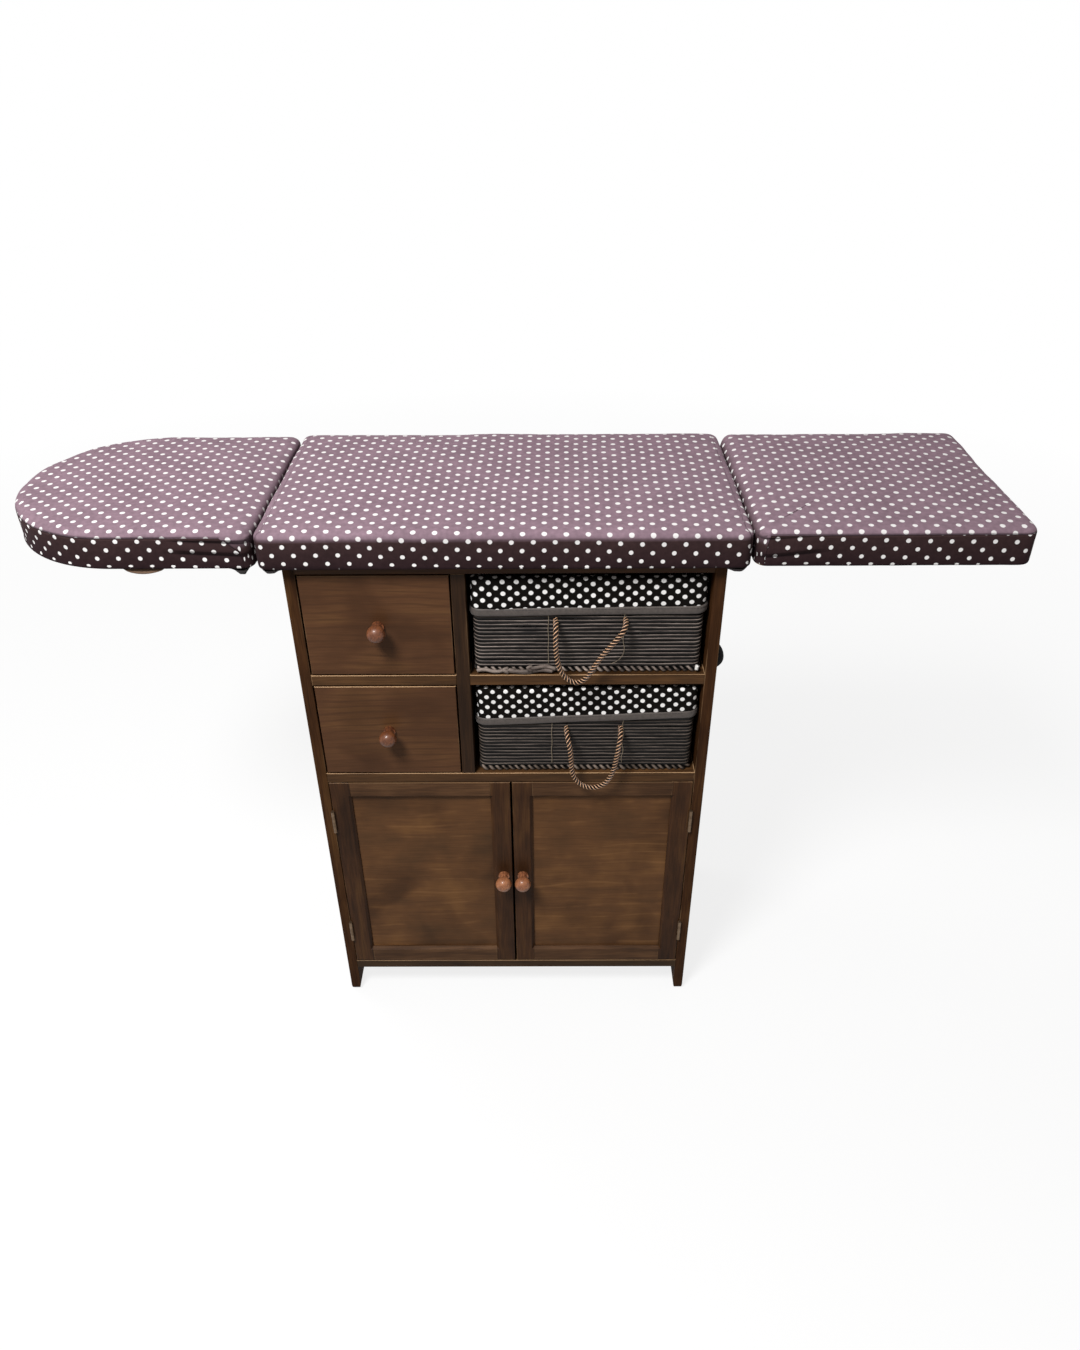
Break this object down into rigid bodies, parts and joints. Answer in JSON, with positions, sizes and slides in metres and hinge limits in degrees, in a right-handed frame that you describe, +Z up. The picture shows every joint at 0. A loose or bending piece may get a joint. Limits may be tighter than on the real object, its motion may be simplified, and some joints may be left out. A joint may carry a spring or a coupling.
{
  "type": "ironing board cabinet",
  "caption": "Cabinet with a padded ironing top whose two leaves fold down, over drawers, lined baskets and a two-door cupboard.",
  "frame": {"origin": "on the floor under the middle of the whole part with both leaves up", "axes": "+X to the right along the ironing top (square leaf), +Y to the back, +Z up"},
  "size_m": [1.286, 0.3474, 0.85],
  "materials": {
    "walnut_stained_wood": "walnut stain under a satin varnish",
    "drawer_front_wood": "walnut stain under a satin varnish, grain level",
    "door_panel_wood": "thin stained panel, grain level",
    "drawer_box_wood": "plain unstained softwood",
    "thin_plywood": "thin stained plywood",
    "board_ply": "raw plywood",
    "knob_wood": "turned, red-brown, glossy varnish",
    "foam": "open-cell foam",
    "dotted_cotton": "plain-weave cotton, white dots on plum brown",
    "dotted_lining": "plain-weave cotton, white dots on near black",
    "paper_rope": "twisted paper rope, dark grey brown, matt",
    "handle_rope": "three-strand twisted cord, copper and dark brown, silky",
    "basket_wire": "drawn wire, dark paint",
    "black_steel": "pressed steel, black enamel",
    "brass": "brass-plated steel, dull",
    "black_rubber": "moulded rubber, matt",
    "brown_plastic": "moulded housing"
  },
  "bodies": {
    "cabinet": {"side_left": "walnut_stained_wood", "side_right": "walnut_stained_wood", "top_board": "walnut_stained_wood", "bottom_board": "walnut_stained_wood", "middle_shelf": "walnut_stained_wood", "divider": "walnut_stained_wood", "shelf_left": "walnut_stained_wood", "shelf_right": "walnut_stained_wood", "back_panel": "thin_plywood", "centre_board": "board_ply", "centre_foam": "foam", "centre_cover": "dotted_cotton", "leaf_hinge_fixed_plates": "black_steel", "door_hinge_fixed_plates": "brass", "hinge_pins": "brass", "leaf_buffers": "black_rubber", "stay_brackets": "black_steel", "magnet_catches": "brown_plastic"},
    "leaf_left": {"leaf_left_board": "board_ply", "leaf_left_foam": "foam", "leaf_left_cover": "dotted_cotton", "leaf_left_hinge_plates": "black_steel", "leaf_left_stay_rest": "black_steel"},
    "stay_left": {"stay_left": "black_steel"},
    "door_left": {"door_left_hinge_stile": "walnut_stained_wood", "door_left_knob_stile": "walnut_stained_wood", "door_left_rails": "walnut_stained_wood", "door_left_panel": "door_panel_wood", "door_left_knob": "knob_wood", "door_left_hinge_plates": "brass"},
    "leaf_right": {"leaf_right_board": "board_ply", "leaf_right_foam": "foam", "leaf_right_cover": "dotted_cotton", "leaf_right_hinge_plates": "black_steel", "leaf_right_stay_rest": "black_steel"},
    "stay_right": {"stay_right": "black_steel"},
    "door_right": {"door_right_hinge_stile": "walnut_stained_wood", "door_right_knob_stile": "walnut_stained_wood", "door_right_rails": "walnut_stained_wood", "door_right_panel": "door_panel_wood", "door_right_knob": "knob_wood", "door_right_hinge_plates": "brass"},
    "drawer_upper": {"drawer_upper_front": "drawer_front_wood", "drawer_upper_sides": "drawer_box_wood", "drawer_upper_back": "drawer_box_wood", "drawer_upper_bottom": "thin_plywood", "drawer_upper_knob": "knob_wood"},
    "basket_upper": {"basket_upper_weave": "paper_rope", "basket_upper_frame": "basket_wire", "basket_upper_liner": "dotted_lining", "basket_upper_handle": "handle_rope"},
    "drawer_lower": {"drawer_lower_front": "drawer_front_wood", "drawer_lower_sides": "drawer_box_wood", "drawer_lower_back": "drawer_box_wood", "drawer_lower_bottom": "thin_plywood", "drawer_lower_knob": "knob_wood"},
    "basket_lower": {"basket_lower_weave": "paper_rope", "basket_lower_frame": "basket_wire", "basket_lower_liner": "dotted_lining", "basket_lower_handle": "handle_rope"}
  },
  "joints": [
    {"name": "leaf_left_fold", "type": "hinge", "parent": "cabinet", "child": "leaf_left", "pos_m": [-0.30375, 0.00625, 0.7968], "axis": [0, -1, 0], "range_deg": [0, 90]},
    {"name": "stay_left_swing", "type": "hinge", "parent": "cabinet", "child": "stay_left", "pos_m": [-0.2815, 0.00625, 0.719], "axis": [0, -1, 0], "range_deg": [0, 117]},
    {"name": "leaf_right_fold", "type": "hinge", "parent": "cabinet", "child": "leaf_right", "pos_m": [0.30375, 0.00625, 0.7968], "axis": [0, 1, 0], "range_deg": [0, 90]},
    {"name": "stay_right_swing", "type": "hinge", "parent": "cabinet", "child": "stay_right", "pos_m": [0.2815, 0.00625, 0.719], "axis": [0, 1, 0], "range_deg": [0, 117]},
    {"name": "door_left_hinge", "type": "hinge", "parent": "cabinet", "child": "door_left", "pos_m": [-0.2606, -0.14655, 0.26], "axis": [0, 0, -1], "range_deg": [0, 170]},
    {"name": "door_right_hinge", "type": "hinge", "parent": "cabinet", "child": "door_right", "pos_m": [0.2606, -0.14655, 0.26], "axis": [0, 0, 1], "range_deg": [0, 170]},
    {"name": "drawer_upper_slide", "type": "slide", "parent": "cabinet", "child": "drawer_upper", "axis": [0, -1, 0], "range_m": [0, 0.22]},
    {"name": "drawer_lower_slide", "type": "slide", "parent": "cabinet", "child": "drawer_lower", "axis": [0, -1, 0], "range_m": [0, 0.22]},
    {"name": "basket_upper_slide", "type": "slide", "parent": "cabinet", "child": "basket_upper", "axis": [0, -1, 0], "range_m": [0, 0.27]},
    {"name": "basket_lower_slide", "type": "slide", "parent": "cabinet", "child": "basket_lower", "axis": [0, -1, 0], "range_m": [0, 0.27]}
  ],
  "couplings": [
    {"joint": "stay_left_swing", "follows": "leaf_left_fold", "ratio": 1.3},
    {"joint": "stay_right_swing", "follows": "leaf_right_fold", "ratio": 1.3}
  ]
}
